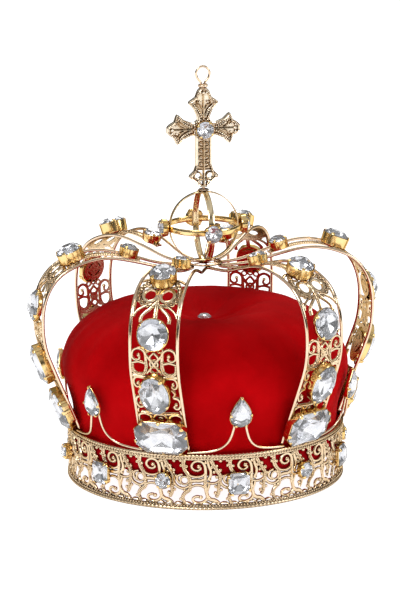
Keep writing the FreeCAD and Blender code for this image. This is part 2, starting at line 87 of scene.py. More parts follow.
class Mesher:
    """Collects vertices in millimetres, and faces with a material slot each, the first unless set."""

    def __init__(self):
        self.verts, self.faces, self.slots, self.count = [], [], [], 0

    def add(self, verts, faces):
        verts = np.asarray(verts, float)
        self.verts.append(verts)
        self.faces += [[i + self.count for i in face] for face in faces]
        self.slots += [0] * len(faces)
        self.count += len(verts)

    def merged(self, other, move):
        """Adds another collection, moved by a function of its vertices."""
        base = self.count
        verts = move(np.concatenate(other.verts))
        self.verts.append(verts)
        self.faces += [[i + base for i in face] for face in other.faces]
        self.slots += other.slots
        self.count += len(verts)

    def mesh(self, name, materials, smooth=True):
        mesh = bpy.data.meshes.new(name)
        mesh.from_pydata((np.concatenate(self.verts) * MM).tolist(), [], self.faces)
        for material in materials:
            mesh.materials.append(material)
        mesh.polygons.foreach_set("material_index", self.slots)
        mesh.polygons.foreach_set("use_smooth", [smooth] * len(self.faces))
        mesh.update()
        return mesh


def place(name, mesh, node, body="crown", angle=0.0, crease=None):
    """Puts a mesh in the scene in place of a CAD node."""
    mesh = mesh.copy()
    mesh.name = name
    mesh.transform(Matrix.Rotation(math.radians(angle), 4, "Z"))
    if crease:
        mesh.set_sharp_from_angle(angle=math.radians(crease))
    piece = bpy.data.objects.new(name, mesh)
    bpy.context.scene.collection.objects.link(piece)
    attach(piece, body)
    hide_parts(node)
    return piece


def grid_faces(rows, columns, closed_rows=False):
    """Faces of a grid whose columns close into a ring."""
    last_row = rows if closed_rows else rows - 1
    faces = []
    for i in range(last_row):
        a, b = i * columns, (i + 1) % rows * columns
        for j in range(columns):
            k = (j + 1) % columns
            faces.append((a + j, a + k, b + k, b + j))
    return faces


def unit(vectors):
    return vectors / np.maximum(np.linalg.norm(vectors, axis=-1, keepdims=True), 1e-12)


def tangents(points, closed=False):
    if closed:
        return unit(np.roll(points, -1, 0) - np.roll(points, 1, 0))
    return unit(np.gradient(points, axis=0))


def spline(points, per_run=8):
    """Clamped quadratic B-spline: it touches the middle of each run of its control points."""
    points = np.asarray(points, float)
    t = np.linspace(0, 1, per_run, endpoint=False)[:, None]
    pieces = []
    for i in range(1, len(points) - 1):
        start = points[0] if i == 1 else (points[i - 1] + points[i]) / 2
        end = points[-1] if i == len(points) - 2 else (points[i] + points[i + 1]) / 2
        pieces.append((1 - t) ** 2 * start + 2 * t * (1 - t) * points[i] + t ** 2 * end)
    return np.concatenate(pieces + [points[-1:]])


def through(points, per_run=7):
    """Smooth curve through the given points."""
    p = np.asarray(points, float)
    ends = np.concatenate([2 * p[:1] - p[1:2], p, 2 * p[-1:] - p[-2:-1]])
    t = np.linspace(0, 1, per_run, endpoint=False)[:, None]
    pieces = []
    for i in range(1, len(ends) - 2):
        a, b, c, d = ends[i - 1:i + 3]
        pieces.append(0.5 * (2 * b + (c - a) * t + (2 * a - 5 * b + 4 * c - d) * t ** 2
                             + (3 * b - a - 3 * c + d) * t ** 3))
    return np.concatenate(pieces + [p[-1:]])


def evenly(points, step):
    gaps = np.linalg.norm(np.diff(points, axis=0), axis=1)
    along = np.concatenate([[0], np.cumsum(gaps)])
    wanted = np.linspace(0, along[-1], max(int(along[-1] / step) + 1, 2))
    return np.stack([np.interp(wanted, along, points[:, k]) for k in range(points.shape[1])], 1)


def sweep(mesher, points, sideways, upwards, section, scale=None):
    """Carries a closed section (sideways, upwards) along points."""
    section = np.asarray(section, float)
    scale = np.ones(len(points)) if scale is None else np.asarray(scale)
    verts = (points[:, None] + sideways[:, None] * (section[None, :, :1] * scale[:, None, None])
             + upwards[:, None] * (section[None, :, 1:] * scale[:, None, None])).reshape(-1, 3)
    faces = grid_faces(len(points), len(section))
    faces.append(tuple(range(len(section)))[::-1])
    faces.append(tuple(len(verts) - len(section) + i for i in range(len(section))))
    mesher.add(verts, faces)


def circle_section(radius, sides):
    turns = np.arange(sides) * 2 * math.pi / sides
    return np.stack([np.cos(turns), np.sin(turns)], 1) * radius


def tube(mesher, points, radius, sides):
    """Round wire along points, its section turned as little as possible."""
    along = tangents(points)
    side = np.cross(along[0], (0.3, 0.2, 1.0))
    sides_list = []
    for direction in along:
        side = side - direction * np.dot(side, direction)
        side = side / np.linalg.norm(side)
        sides_list.append(side)
    sideways = np.array(sides_list)
    sweep(mesher, points, sideways, np.cross(along, sideways), circle_section(radius, sides))


def ball(mesher, centre, radius, rings=5, sides=8):
    turns = np.arange(sides) * 2 * math.pi / sides
    verts = [(0, 0, -1)]
    for i in range(1, rings):
        t = -math.pi / 2 + math.pi * i / rings
        verts += [(math.cos(t) * math.cos(a), math.cos(t) * math.sin(a), math.sin(t)) for a in turns]
    verts.append((0, 0, 1))
    faces = [(0, 1 + (j + 1) % sides, 1 + j) for j in range(sides)]
    for i in range(rings - 2):
        a, b = 1 + i * sides, 1 + (i + 1) * sides
        faces += [(a + j, a + (j + 1) % sides, b + (j + 1) % sides, b + j) for j in range(sides)]
    top = len(verts) - 1
    faces += [(top - sides + j, top - sides + (j + 1) % sides, top) for j in range(sides)]
    mesher.add(np.array(verts) * radius + np.asarray(centre), faces)


def lathe(mesher, section, sides=192):
    """Closed section of (distance from the axis, height) turned round +Z."""
    section = np.asarray(section, float)
    turns = np.arange(sides) * 2 * math.pi / sides
    ring = np.stack([np.sin(turns), -np.cos(turns)], 1)
    verts = np.concatenate([
        ring[:, None] * section[None, :, :1],
        np.broadcast_to(section[None, :, 1:], (sides, len(section), 1))], axis=2).reshape(-1, 3)
    mesher.add(verts, grid_faces(sides, len(section), closed_rows=True))


def turned(degrees):
    a = math.radians(degrees)
    matrix = np.array([[math.cos(a), -math.sin(a), 0], [math.sin(a), math.cos(a), 0], [0, 0, 1]])
    return lambda verts: verts @ matrix.T


def seated(radius, height, tilt, angle=0.0):
    """Moves a piece made face up to its seat, its face leaning back by tilt degrees."""
    a = math.radians(90 - tilt)
    lean = np.array([[1, 0, 0], [0, math.cos(a), -math.sin(a)], [0, math.sin(a), math.cos(a)]])
    turn = turned(angle)
    return lambda verts: turn(verts @ lean.T + (0, -radius, height))


# Flat motifs: strokes and beads drawn in (across, along) and wrapped onto the crown's surfaces

STROKE = [(-0.5, 0.0), (-0.5, 0.55), (-0.3, 0.95), (0.0, 0.8), (0.3, 0.95), (0.5, 0.55), (0.5, 0.0)]


class Motif:
    """Strokes with rounded, grooved tops, and beads, all wrapped onto a surface."""

    def __init__(self, mesher, wrap, low, high):
        self.mesher, self.wrap, self.low, self.high = mesher, wrap, low, high

    def stroke(self, path, width=1.2, closed=False, taper=0.0, step=0.8):
        path = evenly(np.asarray(path, float), step)
        if closed:
            path = path[:-1]
        along = tangents(path, closed)
        sideways = np.stack([-along[:, 1], along[:, 0]], 1)
        t = np.linspace(0, 1, len(path))
        widths = width * (1 - taper * t)
        section = np.array(STROKE)
        flat = path[:, None] + sideways[:, None] * (section[None, :, :1] * widths[:, None, None])
        heights = np.broadcast_to(self.low + (self.high - self.low) * section[:, 1], flat.shape[:2])
        verts = self.wrap(flat[..., 0].ravel(), flat[..., 1].ravel(), heights.ravel())
        faces = grid_faces(len(path), len(section), closed_rows=closed)
        if not closed:
            faces.append(tuple(range(len(section)))[::-1])
            faces.append(tuple(len(verts) - len(section) + i for i in range(len(section))))
        self.mesher.add(verts, faces)

    def curve(self, points, width=1.2, taper=0.0):
        self.stroke(through(points), width, taper=taper)

    def bead(self, x, y, radius, lift=0.0):
        centre = self.wrap(np.array([x]), np.array([y]), np.array([self.high + lift - radius * 0.3]))[0]
        ball(self.mesher, centre, radius)

    def scroll(self, points, width=1.2, ball_radius=1.0):
        """Curve that ends in a bead, as a spiral's eye."""
        self.stroke(through(points), width, taper=0.35)
        self.bead(points[-1][0], points[-1][1], ball_radius)

    def ring(self, x, y, radius, width=1.0, tall=None):
        turns = np.linspace(0, 2 * math.pi, 17)
        loop = np.stack([x + radius * np.cos(turns), y + (tall or radius) * np.sin(turns)], 1)
        self.stroke(loop, width, closed=True, step=max(radius / 2.2, 0.5))

    def lace(self, points, spacing=3.0, radius=1.35):
        """Chain of small rings, each with a bead in it."""
        for x, y in evenly(through(points), spacing):
            self.ring(x, y, radius, 0.8)
            self.bead(x, y, 0.6)

    def grains(self, points, spacing=1.1, radius=0.42):
        for x, y in evenly(through(points), spacing):
            self.bead(x, y, radius)


def mirrored(points):
    return [(-x, y) for x, y in points]


def shifted(points, x, y):
    return [(a + x, b + y) for a, b in points]


# Arch profile

PROFILE = evenly(spline([(radius, height) for radius, height, _ in RAIL_ROUTE], 24), 0.5)
PROFILE_LENGTH = np.concatenate([[0], np.cumsum(np.linalg.norm(np.diff(PROFILE, axis=0), axis=1))])
PROFILE_TANGENT = tangents(PROFILE)


def wrap_arch(across, along, lift):
    """Point on the front arch's ribbon surface."""
    radius, height = (np.interp(along, PROFILE_LENGTH, PROFILE[:, k]) for k in (0, 1))
    slope, rise = (np.interp(along, PROFILE_LENGTH, PROFILE_TANGENT[:, k]) for k in (0, 1))
    return np.stack([across, -(radius + lift * rise), height - lift * slope], 1)


def wrap_band(across, height, lift):
    angle = across / BAND_RADIUS
    radius = BAND_RADIUS + lift
    return np.stack([radius * np.sin(angle), -radius * np.cos(angle), height], 1)


def arch_seat(face):
    """Tilt of a stone's face, its distance to the ribbon, and its place along the ribbon."""
    gaps = np.linalg.norm(PROFILE - np.array(face), axis=1)
    i = int(np.argmin(gaps))
    tilt = math.degrees(math.atan2(-PROFILE_TANGENT[i, 0], PROFILE_TANGENT[i, 1]))
    return tilt, gaps[i] - RIBBON_HALF + SEAT_BITE, PROFILE_LENGTH[i]


# Stones and collets

# Corners round a stone that isn't straight-sided
STONE_SIDES = 16
# Largest value of the pear's formula
PEAR_WIDEST = 0.77


def ellipse_corners(size, count):
    turns = (np.arange(count) + 0.5) * 2 * math.pi / count
    return np.stack([size[0] / 2 * np.cos(turns), size[1] / 2 * np.sin(turns)], 1)


def pear_corners(size, count):
    turns = np.arange(count) * 2 * math.pi / count
    x = -size[0] / 2 / PEAR_WIDEST * np.sin(turns) * np.sin(turns / 2)
    return np.stack([x, size[1] / 2 * np.cos(turns)], 1)


def cut_corners(size, cut):
    """Eight corners of a rectangle with cut corners, and the middles of its sides."""
    x, y = size[0] / 2, size[1] / 2
    corners = np.array([(x, y - cut), (x - cut, y), (cut - x, y), (-x, y - cut),
                        (-x, cut - y), (cut - x, -y), (x - cut, -y), (x, cut - y)])
    middles = (corners + np.roll(corners, -1, 0)) / 2
    return np.stack([corners, middles], 1).reshape(-1, 2)


def wall_outline(girdle, cornered):
    """Closer points round a stone's outline, with their outward directions."""
    if cornered:
        loop = np.concatenate([girdle, girdle[:1]])
        points = evenly(loop, 0.9)[:-1]
    else:
        closed = np.concatenate([girdle[-2:], girdle, girdle[:3]])
        points = through(closed, 4)[8:8 + 4 * len(girdle)]
    along = tangents(points, closed=True)
    return points, np.stack([along[:, 1], -along[:, 0]], 1)


def gem(girdle, size, depth, table=0.62, waist=0.6, keel=None):
    """Faceted stone, table at z = 0, as the hull of its corners: glass above, foiled facets below."""
    under = -CROWN_RATIO * min(size) - GIRDLE
    floor = 0.8 - depth
    corners = girdle[::2]
    levels = [(corners * table, 0.0), (girdle, under + GIRDLE), (girdle, under),
              (corners * waist, under + (floor - under) * (1.2 - waist))]
    if keel:
        levels.append((np.array([(keel[0], 0), (0, keel[1]), (-keel[0], 0), (0, -keel[1])]), floor))
    else:
        levels.append((corners * 0.1, floor))
    shape = bmesh.new()
    for points, height in levels:
        for x, y in points:
            shape.verts.new((x, y, height))
    hull = bmesh.ops.convex_hull(shape, input=shape.verts)
    bmesh.ops.delete(shape, geom=hull["geom_interior"], context="VERTS")
    bmesh.ops.dissolve_limit(shape, angle_limit=math.radians(2), verts=shape.verts, edges=shape.edges)
    shape.verts.index_update()
    mesher = Mesher()
    mesher.add([tuple(vert.co) for vert in shape.verts],
               [[vert.index for vert in face.verts] for face in shape.faces])
    mesher.slots = [int(face.calc_center_median().z < under - 0.01) for face in shape.faces]
    shape.free()
    return mesher


def collet(girdle, size, depth, tab_places, cornered=False, tab_width=2.4):
    """Cup round a stone with a closed back, and flat tabs folded over its edge."""
    mesher = Mesher()
    points, outward = wall_outline(girdle, cornered)
    rim = -CROWN_RATIO * min(size) - GIRDLE
    section = [(0.05, rim - 0.1), (0.3, rim), (0.5, rim - 0.25), (0.42, rim - 1.0),
               (0.05, -depth + 0.9), (-0.1, -depth + 0.3), (-0.4, -depth),
               (-1.6, -depth), (-1.6, -depth + 0.5), (-0.3, -depth + 0.7)]
    rows = [np.column_stack([points + outward * offset, np.full(len(points), height)])[:, None]
            for offset, height in section]
    verts = np.concatenate(rows, axis=1).reshape(-1, 3)
    faces = grid_faces(len(points), len(section), closed_rows=True)
    faces.append(tuple(i * len(section) + 7 for i in range(len(points)))[::-1])
    mesher.add(verts, faces)
    for place_along in tab_places:
        i = int(round(place_along * len(points))) % len(points)
        tab(mesher, points[i], outward[i], rim, depth, tab_width)
    return mesher


def tab(mesher, foot, outward, rim, depth, width):
    """One flat tab: up the wall, then bent inwards over the stone."""
    route = [(0.15, -depth + 0.8), (0.5, rim - 1.0), (0.62, rim + 0.3), (0.3, rim + 0.9), (-0.3, rim + 1.2),
             (-0.9, rim + 1.55)]
    path = spline(route, 4)
    points = np.column_stack([foot + outward * path[:, :1], path[:, 1]])
    side = np.tile((-outward[1], outward[0], 0.0), (len(points), 1))
    normals = np.cross(tangents(points), side)
    half = width / 2
    section = [(-half, -0.2), (-half, 0.14), (-half * 0.8, 0.26),
               (half * 0.8, 0.26), (half, 0.14), (half, -0.2)]
    t = np.linspace(0, 1, len(points))
    scale = np.where(t > 0.6, 1 - 0.75 * ((t - 0.6) / 0.4) ** 2, 1.0)
    sweep(mesher, points, side, -normals, section, scale=scale)


OCTAGON_CUT = 6.0
# Face of each arch stone (distance from the axis, height), and its width and length
STONE_PLACES = {
    "octagon": ((100.6, 46.6), (34.0, 23.6)),
    "oval": ((113.2, 77.6), (19.0, 27.4)),
    "round": ((116.0, 119.6), (20.0, 20.0)),
    "top": ((90.6, 156.8), (16.6, 16.6)),
    "inner": ((48.8, 155.2), (11.4, 11.4)),
}


def stone_girdle(name, size):
    return cut_corners(size, OCTAGON_CUT) if name == "octagon" else ellipse_corners(size, STONE_SIDES)


STONES = {name: (face, size, stone_girdle(name, size), name == "octagon")
          for name, (face, size) in STONE_PLACES.items()}
FOUR_TABS = (0.125, 0.375, 0.625, 0.875)
OCTAGON_TABS = (0.035, 0.2, 0.31, 0.47, 0.535, 0.7, 0.81, 0.965)


# Materials

def new_material(name):
    material = bpy.data.materials.new(name)
    material.use_nodes = True
    tree = material.node_tree
    return material, tree, tree.nodes["Principled BSDF"]


def noise(tree, scale, detail=3.0, roughness=0.5):
    where = tree.nodes.new("ShaderNodeTexCoord")
    texture = tree.nodes.new("ShaderNodeTexNoise")
    texture.inputs["Scale"].default_value = scale
    texture.inputs["Detail"].default_value = detail
    texture.inputs["Roughness"].default_value = roughness
    tree.links.new(where.outputs["Object"], texture.inputs["Vector"])
    return texture.outputs["Fac"]


def ramp(tree, source, stops):
    node = tree.nodes.new("ShaderNodeValToRGB")
    elements = node.color_ramp.elements
    while len(elements) < len(stops):
        elements.new(0.5)
    for element, (place_on_ramp, colour) in zip(elements, stops):
        element.position = place_on_ramp
        element.color = (*colour, 1.0)
    tree.links.new(source, node.inputs["Fac"])
    return node.outputs["Color"]


def bump(tree, height, strength, distance, shader):
    node = tree.nodes.new("ShaderNodeBump")
    node.inputs["Strength"].default_value = strength
    node.inputs["Distance"].default_value = distance
    tree.links.new(height, node.inputs["Height"])
    tree.links.new(node.outputs["Normal"], shader.inputs["Normal"])


def map_range(tree, source, low, high):
    node = tree.nodes.new("ShaderNodeMapRange")
    node.inputs["To Min"].default_value = low
    node.inputs["To Max"].default_value = high
    tree.links.new(source, node.inputs["Value"])
    return node.outputs["Result"]


def gold_material(name, pale, warm, recess_shade, rough_low, rough_high, grain, edge=(0.55, 0.40, 0.24)):
    """Pale gold plate with fine uneven polish; painted shade makes its recesses warmer and darker."""
    material, tree, shader = new_material(name)
    shader.inputs["Metallic"].default_value = 1.0
    shader.inputs["Specular Tint"].default_value = (*edge, 1.0)
    patches = ramp(tree, noise(tree, 90.0), [(0.35, pale), (0.7, warm)])
    # Painted shade: the ambient-occlusion mask below tints the recesses towards the dark brown colour,
    # standing in for the shade that falls there
    hollow = tree.nodes.new("ShaderNodeAmbientOcclusion")
    hollow.inputs["Distance"].default_value = 0.0022
    hollow.samples = 6
    shade = ramp(tree, hollow.outputs["AO"], [(0.25, recess_shade), (0.85, (1.0, 1.0, 1.0))])
    mix = tree.nodes.new("ShaderNodeMix")
    mix.data_type, mix.blend_type = "RGBA", "MULTIPLY"
    mix.inputs["Factor"].default_value = 1.0
    tree.links.new(patches, mix.inputs["A"])
    tree.links.new(shade, mix.inputs["B"])
    tree.links.new(mix.outputs["Result"], shader.inputs["Base Color"])
    tree.links.new(map_range(tree, noise(tree, 260.0), rough_low, rough_high), shader.inputs["Roughness"])
    bump(tree, noise(tree, 1400.0, 4.0), grain, 0.0002, shader)
    return material


def glass_material(name):
    material, tree, shader = new_material(name)
    shader.inputs["Transmission Weight"].default_value = 1.0
    shader.inputs["IOR"].default_value = 1.52
    tint = ramp(tree, noise(tree, 60.0), [(0.3, (0.97, 0.98, 1.0)), (0.7, (1.0, 1.0, 1.0))])
    tree.links.new(tint, shader.inputs["Base Color"])
    tree.links.new(map_range(tree, noise(tree, 300.0), 0.0, 0.03), shader.inputs["Roughness"])
    return material


def foil_material(name):
    material, tree, shader = new_material(name)
    shader.inputs["Metallic"].default_value = 1.0
    tint = ramp(tree, noise(tree, 160.0), [(0.3, (0.56, 0.57, 0.60)), (0.7, (0.80, 0.80, 0.82))])
    tree.links.new(tint, shader.inputs["Base Color"])
    tree.links.new(map_range(tree, noise(tree, 500.0), 0.10, 0.20), shader.inputs["Roughness"])
    # The foil glows faintly: painted light that brightens the stones, though the foil is no lamp
    shader.inputs["Emission Color"].default_value = (0.86, 0.88, 0.90, 1.0)
    shader.inputs["Emission Strength"].default_value = 0.06
    return material


def velvet_material(name, deep, bright, fibre_scale):
    """Short pile: soft sheen, a fine fibre bump, and slow patches where the pile leans."""
    material, tree, shader = new_material(name)
    slow = ramp(tree, noise(tree, 22.0, 4.0, 0.6), [(0.3, deep), (0.72, bright)])
    tree.links.new(slow, shader.inputs["Base Color"])
    tree.links.new(map_range(tree, noise(tree, 700.0), 0.75, 1.0), shader.inputs["Roughness"])
    shader.inputs["Specular IOR Level"].default_value = 0.03
    shader.inputs["Sheen Weight"].default_value = 0.12
    shader.inputs["Sheen Roughness"].default_value = 0.35
    shader.inputs["Sheen Tint"].default_value = (0.95, 0.04, 0.03, 1.0)
    bump(tree, noise(tree, fibre_scale, 6.0, 0.7), 0.35, 0.0006, shader)
    return material


# The third colour of each gold is painted shade for its recesses
GOLD = gold_material(
    "gold_cast", (0.80, 0.64, 0.44), (0.68, 0.51, 0.32), (0.16, 0.09, 0.04), 0.14, 0.30, 0.25)
# The wire gold's base leans pink: partly its own champagne tone, partly a painted reflection of the red
# velvet
GOLD_WIRE = gold_material(
    "gold_wire", (0.84, 0.66, 0.48), (0.72, 0.53, 0.36), (0.30, 0.16, 0.08), 0.08, 0.20, 0.08,
    (0.30, 0.20, 0.11))
GOLD_CROSS = gold_material(
    "gold_cross", (0.96, 0.88, 0.74), (0.88, 0.75, 0.56), (0.34, 0.22, 0.12), 0.10, 0.24, 0.5,
    (0.60, 0.48, 0.34))
GOLD_STRIP = gold_material(
    "gold_strip", (0.88, 0.72, 0.46), (0.80, 0.62, 0.36), (0.34, 0.19, 0.07), 0.10, 0.22, 0.08)
GOLD_CUP = gold_material(
    "gold_cup", (0.88, 0.66, 0.32), (0.84, 0.56, 0.20), (0.50, 0.24, 0.05), 0.12, 0.26, 0.15)
GLASS = glass_material("stone_glass")
FOIL = foil_material("stone_foil")
VELVET = velvet_material("red_velvet", (0.32, 0.0, 0.001), (0.50, 0.001, 0.003), 2600.0)
HEM_CLOTH = velvet_material("hem_velvet", (0.24, 0.0, 0.002), (0.38, 0.001, 0.005), 2200.0)


def place_set(cups, cups_name, cups_node, jewels, jewels_name, jewels_node, body="crown"):
    """Puts a set of cups and their stones in the scene."""
    place(cups_name, cups.mesh(cups_name, [GOLD_CUP]), cups_node, body, crease=40)
    place(jewels_name, jewels.mesh(jewels_name, [GLASS, FOIL], smooth=False), jewels_node, body)


# Arches

def arch_wire_mesh():
    """Hairpin: up the left arch's right rail, round under the orb, down the right arch's left rail."""
    rail = [np.array((across, -radius, height)) for radius, height, across in RAIL_ROUTE]
    left = [turned(-30)(point) for point in rail]
    right = [turned(30)(point * (-1, 1, 1)) for point in rail]
    route = left + [np.array((0.0, -8.0, 139.2))] + right[::-1]
    mesher = Mesher()
    tube(mesher, evenly(spline(route, 20), 1.6), RAIL_RADIUS, 12)
    return mesher.mesh("arch_wire", [GOLD_WIRE])


def build_arch_wires():
    mesh = arch_wire_mesh()
    for name, angle in GAP_ANGLES.items():
        place("wire_" + name, mesh, "arch_wire_" + name, angle=angle)


# Loop between the oval and the round stone, drawn as a stroke with grains on it
MIDDLE_LOOP = [(13.0, 66.0), (12.6, 61.5), (9.5, 59.0), (6.0, 60.0), (4.6, 64.0), (4.8, 68.0)]
# Right half of an arch's filigree: width of a stroke, then its route (across the arch, along the arch)
ARCH_STROKES = [
    (3.0, [(0.0, 22.6), (6.6, 22.6), (13.2, 22.6)]),
    (2.0, [(13.2, 23.0), (12.6, 27.5), (9.4, 29.2), (6.0, 27.6), (5.0, 23.4)]),
    (1.6, [(5.0, 25.0), (2.2, 28.6), (0.0, 29.6)]),
    (1.2, [(2.4, 23.5), (1.4, 26.0), (0.0, 27.0)]),
    (1.8, [(0.0, 28.8), (5.6, 29.6), (11.0, 30.0)]),
    (1.5, [(12.2, 33.0), (12.8, 31.5), (13.0, 30.0)]),
    (1.5, [(9.0, 48.6), (10.6, 45.6), (9.2, 43.0)]),
    (2.6, [(0.0, 58.6), (6.0, 57.0), (13.0, 58.2)]),
    (2.2, MIDDLE_LOOP),
    (1.6, [(4.8, 66.4), (9.0, 67.5), (13.0, 66.5)]),
    (1.7, [(-4.6, 60.0), (0.0, 66.0), (4.6, 72.0)]),
    (1.4, [(0.0, 73.6), (2.6, 70.0), (0.0, 66.0), (2.6, 62.4), (0.0, 59.6)]),
    (1.2, [(2.0, 103.0), (8.0, 104.5), (11.5, 108.0), (12.0, 114.0), (10.5, 118.0), (7.0, 124.0)]),
    (2.0, [(0.0, 106.0), (3.4, 101.5), (6.2, 98.8), (8.2, 95.8), (8.2, 92.4)]),
    (1.4, [(3.0, 104.4), (6.4, 103.0), (10.6, 100.0), (12.9, 96.0)]),
    (1.8, [(0.0, 126.0), (4.0, 125.0), (8.6, 125.6), (12.6, 123.0)]),
    (1.6, [(12.6, 96.0), (13.0, 103.0), (12.6, 110.0)]),
]
ARCH_SCROLLS = [
    [(8.6, 57.5), (11.8, 56.5), (12.8, 53.0), (11.4, 49.8), (9.4, 50.6), (10.2, 52.8)],
    [(9.2, 42.6), (12.2, 41.4), (13.0, 37.4), (11.2, 34.0), (9.0, 35.2), (10.4, 37.6)],
    [(4.6, 68.0), (5.2, 73.5), (8.5, 76.0), (12.0, 74.5),
     (12.8, 70.5), (10.6, 68.4), (8.4, 69.6), (8.8, 72.0)],
]
ARCH_LACE = [(2.6, 103.0), (8.0, 104.5), (11.3, 108.4), (11.4, 114.0), (10.2, 118.0), (7.0, 124.0)]
# Rings: distance across and along, the two radii, and the stroke's width
ARCH_RINGS = [(5.0, 111.0, 4.2, 5.0, 2.2), (6.6, 120.6, 3.2, 2.6, 1.6), (3.8, 75.5, 1.6, 1.6, 1.0)]
ARCH_SPINE = [(0.0, 94.5), (0.0, 127.0)]
# Inner strip's width at the top stone and at the smallest stone
STRIP_WIDTHS = (6.4, 4.6)
# The routes above are for rails this far from the middle
MOTIF_SPREAD = 13.8


def both(action, points, *args):
    action(points, *args)
    action(mirrored(points), *args)


def inner_strip(motif, start, end):
    """Beaded strip that carries the smallest stone, narrowing towards the orb."""
    wide, narrow = STRIP_WIDTHS
    motif.stroke([(0.0, start), (0.0, end)], wide, taper=1 - narrow / wide, step=2.0)
    edge = [(wide / 2 - 0.9, start), ((wide + narrow) / 4 - 0.9, (start + end) / 2), (narrow / 2 - 0.9, end)]
    both(motif.grains, edge, 1.5, 0.62)


def arch_filigree_mesh():
    mesher = Mesher()
    stretch = RAIL_SPREAD / MOTIF_SPREAD
    motif = Motif(mesher, lambda across, along, lift: wrap_arch(across * stretch, along, lift), -0.45, 0.8)
    seats = {name: arch_seat(face)[2] for name, (face, _, _, _) in STONES.items()}
    for width, points in ARCH_STROKES:
        both(motif.curve, points, width)
    both(motif.grains, MIDDLE_LOOP)
    for points in ARCH_SCROLLS:
        both(motif.scroll, points, 2.0, 1.25)
    for x, y, wide, tall, width in ARCH_RINGS:
        for side in (-1, 1):
            motif.ring(side * x, y, wide, width, tall)
    motif.ring(0.0, 76.5, 1.8, 1.1)
    motif.ring(0.0, 66.4, 2.4, 1.3)
    both(motif.lace, ARCH_LACE)
    motif.stroke(ARCH_SPINE, 2.4, step=2.0)
    motif.grains([ARCH_SPINE[0], (0.0, 112.0), ARCH_SPINE[1]])
    inner_strip(motif, seats["top"] - 6.0, seats["inner"] + 8.0)
    for name, radius in (("oval", 6.0), ("round", 6.4), ("top", 4.6)):
        motif.ring(0.0, seats[name], radius, 2.6)
        motif.ring(0.0, seats[name], radius / 2, 1.8)
        motif.stroke([(0.0, seats[name] - radius), (0.0, seats[name] + radius)], 2.2, step=2.0)
        motif.stroke([(-radius, seats[name]), (radius, seats[name])], 2.2, step=2.0)
    return mesher.mesh("arch_filigree", [GOLD])


def build_arches():
    filigree = arch_filigree_mesh()
    collets, stones = Mesher(), Mesher()
    for name, (face, size, girdle, cornered) in STONES.items():
        tilt, depth, _ = arch_seat(face)
        tabs = OCTAGON_TABS if name == "octagon" else FOUR_TABS
        move = seated(*face, tilt)
        collets.merged(collet(girdle, size, depth, tabs, cornered, 2.0 if name == "inner" else 2.6), move)
        keel = (7.5, 3.4) if name == "octagon" else None
        stones.merged(gem(girdle, size, depth, keel=keel), move)
    collet_mesh = collets.mesh("arch_collets", [GOLD_CUP])
    stone_mesh = stones.mesh("arch_stones", [GLASS, FOIL], smooth=False)
    for name, angle in ARCH_ANGLES.items():
        place("filigree_" + name, filigree, "arch_filigree_" + name, angle=angle, crease=50)
        place("collets_" + name, collet_mesh, "arch_collets_" + name, angle=angle, crease=40)
        place("stones_" + name, stone_mesh, "arch_stones_" + name, angle=angle)


# Band

PITCH = 2 * math.pi * BAND_RADIUS / BAND_REPEATS
BAND_PHASE = 3.0
# One repeat of the band's scroll work: distance along the band, height above the bottom rim
TOP_SPIRAL = [(5.8, 12.0), (5.8, 17.0), (6.0, 22.0), (5.2, 26.0), (2.6, 28.2), (-1.0, 27.8), (-2.9, 25.2),
              (-1.5, 22.7), (1.2, 22.1), (3.1, 23.5), (1.7, 25.0)]
BOTTOM_SPIRAL = [(5.8, 12.0), (6.6, 7.5), (7.2, 4.6), (5.6, 2.0), (2.0, 0.7), (-1.6, 1.6), (-2.0, 3.8),
                 (0.4, 5.1), (3.0, 4.6)]
WALL_STEM = [(-8.2, 29.0), (-8.0, 25.0), (-7.0, 22.0), (-5.0, 19.0), (-4.0, 15.6), (-3.8, 12.0), (-4.4, 9.4),
             (-7.2, 7.2), (-8.7, 4.6), (-8.2, 2.0), (-6.6, 0.0)]
LEAFY_STEM = [(-20.4, 29.0), (-18.6, 25.4), (-16.4, 22.0), (-14.6, 19.0), (-14.6, 15.6), (-15.4, 11.6),
              (-15.6, 7.6), (-17.0, 4.6)]
BAND_STROKES = [
    (1.6, [(-6.6, 21.4), (-3.6, 18.6), (0.6, 17.8), (4.0, 18.6), (5.8, 20.2)]),
    (2.1, [(-4.0, 15.0), (-0.6, 15.4), (2.8, 15.4), (5.8, 16.4)]),
    (1.4, [(-3.8, 11.0), (-0.4, 12.4), (3.2, 12.2), (5.9, 10.6)]),
    (1.6, [(-14.6, 15.4), (-13.4, 12.6), (-10.6, 10.7), (-7.4, 10.3), (-4.4, 12.0)]),
    (1.5, [(-8.6, 19.4), (-11.4, 18.6), (-12.2, 16.4), (-11.2, 14.4), (-9.4, 13.2)]),
    (1.9, [(-22.6, 28.6), (-21.6, 24.8), (-20.4, 21.6), (-20.8, 18.4), (-22.0, 16.6), (-20.6, 15.6)]),
    (1.5, [(-24.2, 14.6), (-21.0, 13.7), (-17.6, 13.8), (-15.0, 15.2)]),
    (2.4, [(-22.6, 4.6), (-20.6, 2.9), (-17.8, 2.2), (-15.4, 0.2)]),
    (1.6, [(-22.6, 4.6), (-22.9, 8.6), (-21.6, 12.4), (-21.8, 14.0)]),
]
BAND_RING = (-7.4, 15.5, 2.7)
# Leaf beads: place and radius
BAND_LEAVES = [
    (-19.9, 24.4, 1.3), (-16.8, 25.0, 1.3), (-18.3, 21.2, 1.2), (-14.4, 22.2, 1.3), (-16.6, 17.8, 1.2),
    (-12.8, 18.2, 1.1), (-17.2, 11.6, 1.2), (-13.9, 9.4, 1.1), (-17.6, 7.4, 1.2), (-9.7, 25.4, 1.2),
    (-6.2, 24.8, 1.2), (-9.9, 28.8, 1.4), (5.8, 13.6, 1.3), (-3.9, 13.2, 1.4), (-7.6, 9.4, 1.1),
    (-10.0, 3.2, 1.0), (-14.2, 28.6, 1.4), (-23.6, 27.6, 1.3), (7.4, 28.2, 1.3),
]


